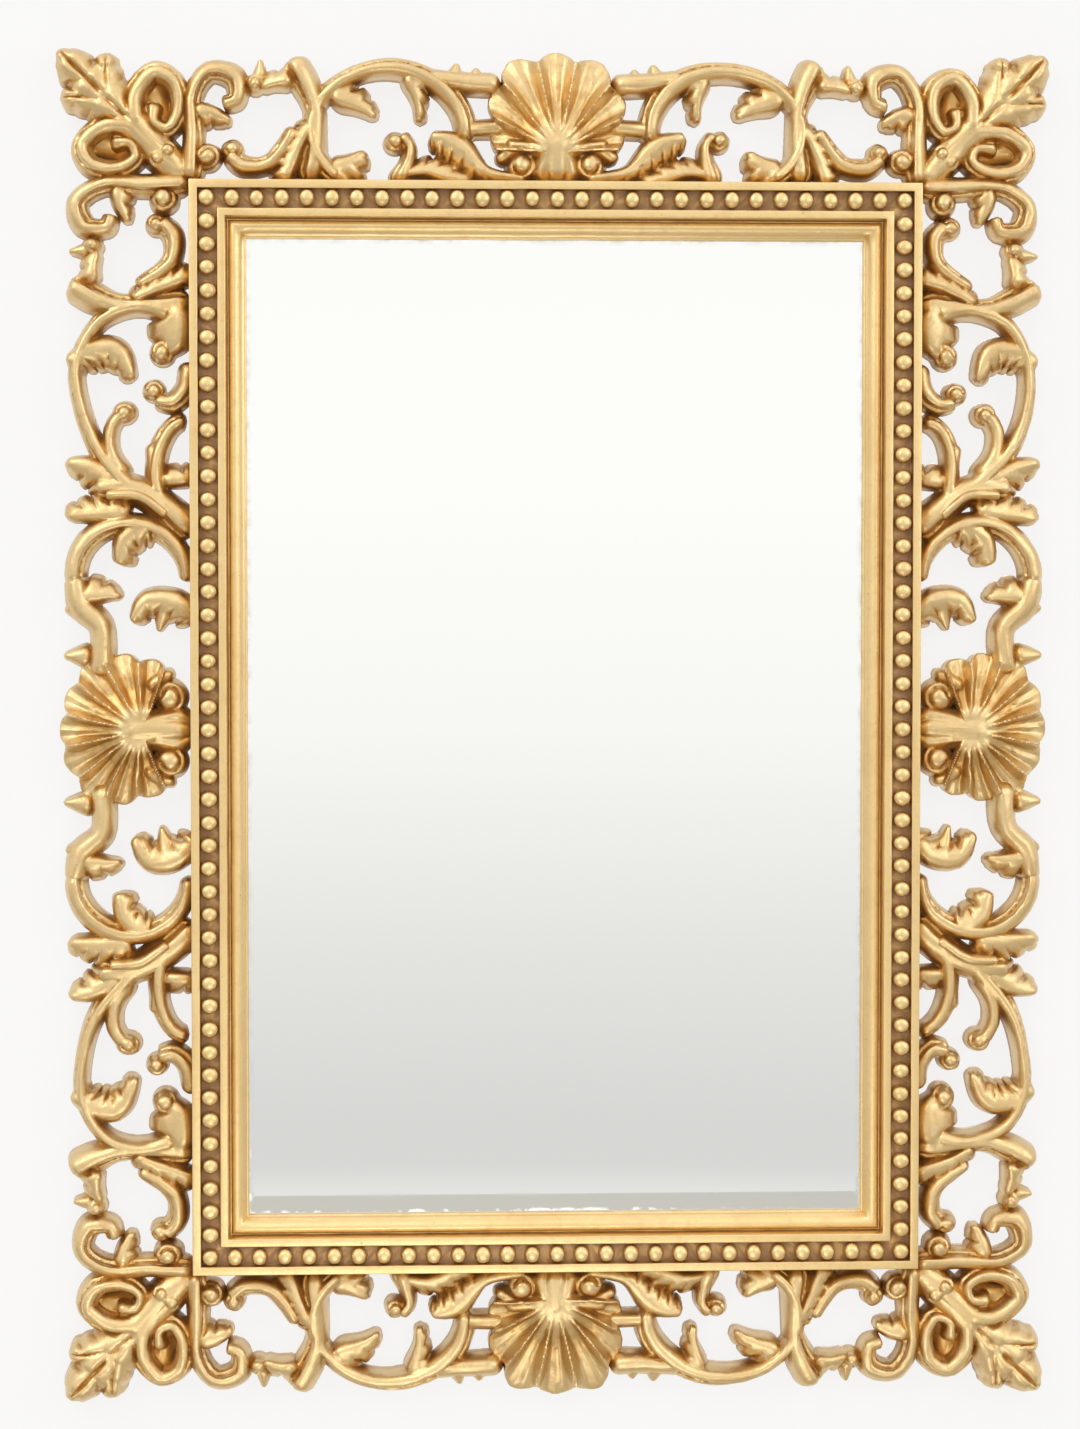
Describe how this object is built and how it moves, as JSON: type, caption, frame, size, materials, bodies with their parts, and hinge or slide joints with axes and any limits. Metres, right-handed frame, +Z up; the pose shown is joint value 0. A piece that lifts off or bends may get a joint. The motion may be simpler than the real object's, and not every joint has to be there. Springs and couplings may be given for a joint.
{
  "type": "wall mirror",
  "caption": "Upright wall mirror with a pierced, carved and gilded wooden surround of scrolls, leaves and shells, a beaded sight moulding and a plain silvered plate.",
  "frame": {"origin": "centre of the flat back, in the plane that rests against the wall", "axes": "+X to the viewer's right, +Z up, +Y into the wall; the mirror faces -Y"},
  "size_m": [0.77, 0.038, 1.0494],
  "materials": {
    "gilded_carving": "gold leaf over gesso and red bole on carved wood, satin, rubbed brown in the hollows",
    "gilded_moulding": "gold leaf over gesso on wood, satin to softly burnished",
    "silvered_glass": "polished plain plate, silvered behind",
    "bare_wood": "bare planed softwood, darkened with age"
  },
  "bodies": {
    "root": {"carved_surround": "gilded_carving", "sight_moulding": "gilded_moulding", "mirror_plate": "silvered_glass", "backboard": "bare_wood"}
  },
  "joints": []
}
